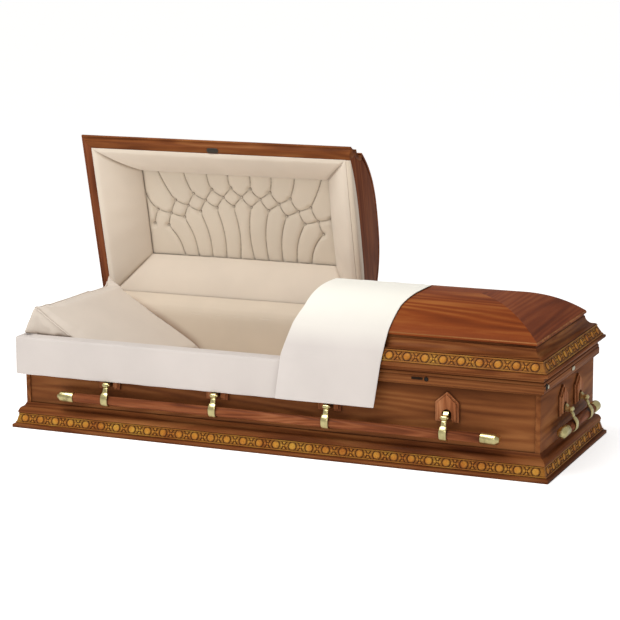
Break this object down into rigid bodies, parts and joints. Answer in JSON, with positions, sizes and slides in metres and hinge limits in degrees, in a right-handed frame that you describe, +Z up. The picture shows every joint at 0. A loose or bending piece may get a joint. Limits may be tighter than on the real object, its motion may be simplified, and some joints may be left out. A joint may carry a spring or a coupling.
{
  "type": "wooden coffin",
  "caption": "Half-couch wooden casket with a domed two-part lid, carved bands, swing bar handles and a padded cream interior",
  "frame": {"origin": "middle of the underside of the base, on the floor", "axes": "+X towards the foot end, +Y towards the hinges at the back, +Z up"},
  "size_m": [2.151, 0.8915, 1.0503],
  "materials": {
    "stained_wood": "reddish brown stain under satin lacquer, grain showing",
    "turned_wood": "the same stain on the turned bars and the shield plates",
    "carved_band": "golden ochre carved relief over a darker amber ground, satin",
    "antique_brass": "antique brass plate, brushed and slightly worn",
    "dark_bronze": "dark oxidised bronze",
    "cream_lining": "matt cream crepe with a soft sheen",
    "white_cloth": "soft off-white velvet cloth"
  },
  "bodies": {
    "casket": {"floor_board": "stained_wood", "front_panel": "stained_wood", "back_panel": "stained_wood", "head_panel": "stained_wood", "foot_panel": "stained_wood", "base_front": "stained_wood", "base_back": "stained_wood", "base_head": "stained_wood", "base_foot": "stained_wood", "base_band": "carved_band", "rim_front": "stained_wood", "rim_back": "stained_wood", "rim_head": "stained_wood", "rim_foot": "stained_wood", "hinge_body_leaves": "antique_brass", "front_shields": "turned_wood", "front_lugs": "antique_brass", "back_shields": "turned_wood", "back_lugs": "antique_brass", "head_shields": "turned_wood", "head_lugs": "antique_brass", "foot_shields": "turned_wood", "foot_lugs": "antique_brass", "lock_plate": "antique_brass", "end_fittings": "antique_brass", "body_lining": "cream_lining", "mattress": "cream_lining", "pillow": "cream_lining", "rim_skirt": "white_cloth"},
    "head_lid": {"head_lid_crown": "stained_wood", "head_lid_front": "stained_wood", "head_lid_back": "stained_wood", "head_lid_end": "stained_wood", "head_lid_band": "carved_band", "head_lid_header": "stained_wood", "head_lid_catch": "dark_bronze", "head_lid_puffing": "cream_lining", "head_lid_cap_panel": "cream_lining", "hinge_head_leaves": "antique_brass"},
    "foot_lid": {"foot_lid_crown": "stained_wood", "foot_lid_front": "stained_wood", "foot_lid_back": "stained_wood", "foot_lid_end": "stained_wood", "foot_lid_band": "carved_band", "foot_lid_header": "stained_wood", "foot_lid_lining": "cream_lining", "hinge_foot_leaves": "antique_brass", "throw": "white_cloth"},
    "front_handle": {"front_arms": "antique_brass", "front_bar": "turned_wood", "front_bar_caps": "antique_brass"},
    "back_handle": {"back_arms": "antique_brass", "back_bar": "turned_wood", "back_bar_caps": "antique_brass"},
    "head_handle": {"head_arms": "antique_brass", "head_bar": "turned_wood", "head_bar_caps": "antique_brass"},
    "foot_handle": {"foot_arms": "antique_brass", "foot_bar": "turned_wood", "foot_bar_caps": "antique_brass"}
  },
  "joints": [
    {"name": "head_lid_hinge", "type": "hinge", "parent": "casket", "child": "head_lid", "pos_m": [0, 0.35, 0.351], "axis": [1, 0, 0], "range_deg": [0, 77.5], "deforming": ["pillow"]},
    {"name": "foot_lid_hinge", "type": "hinge", "parent": "casket", "child": "foot_lid", "pos_m": [0, 0.35, 0.351], "axis": [-1, 0, 0], "range_deg": [0, 77.5]},
    {"name": "front_handle_swing", "type": "hinge", "parent": "casket", "child": "front_handle", "pos_m": [0, -0.359, 0.196], "axis": [-1, 0, 0], "range_deg": [0, 75]},
    {"name": "back_handle_swing", "type": "hinge", "parent": "casket", "child": "back_handle", "pos_m": [0, 0.359, 0.196], "axis": [1, 0, 0], "range_deg": [0, 75]},
    {"name": "head_handle_swing", "type": "hinge", "parent": "casket", "child": "head_handle", "pos_m": [-1.053, 0, 0.196], "axis": [0, 1, 0], "range_deg": [0, 75]},
    {"name": "foot_handle_swing", "type": "hinge", "parent": "casket", "child": "foot_handle", "pos_m": [1.053, 0, 0.196], "axis": [0, -1, 0], "range_deg": [0, 75]}
  ]
}
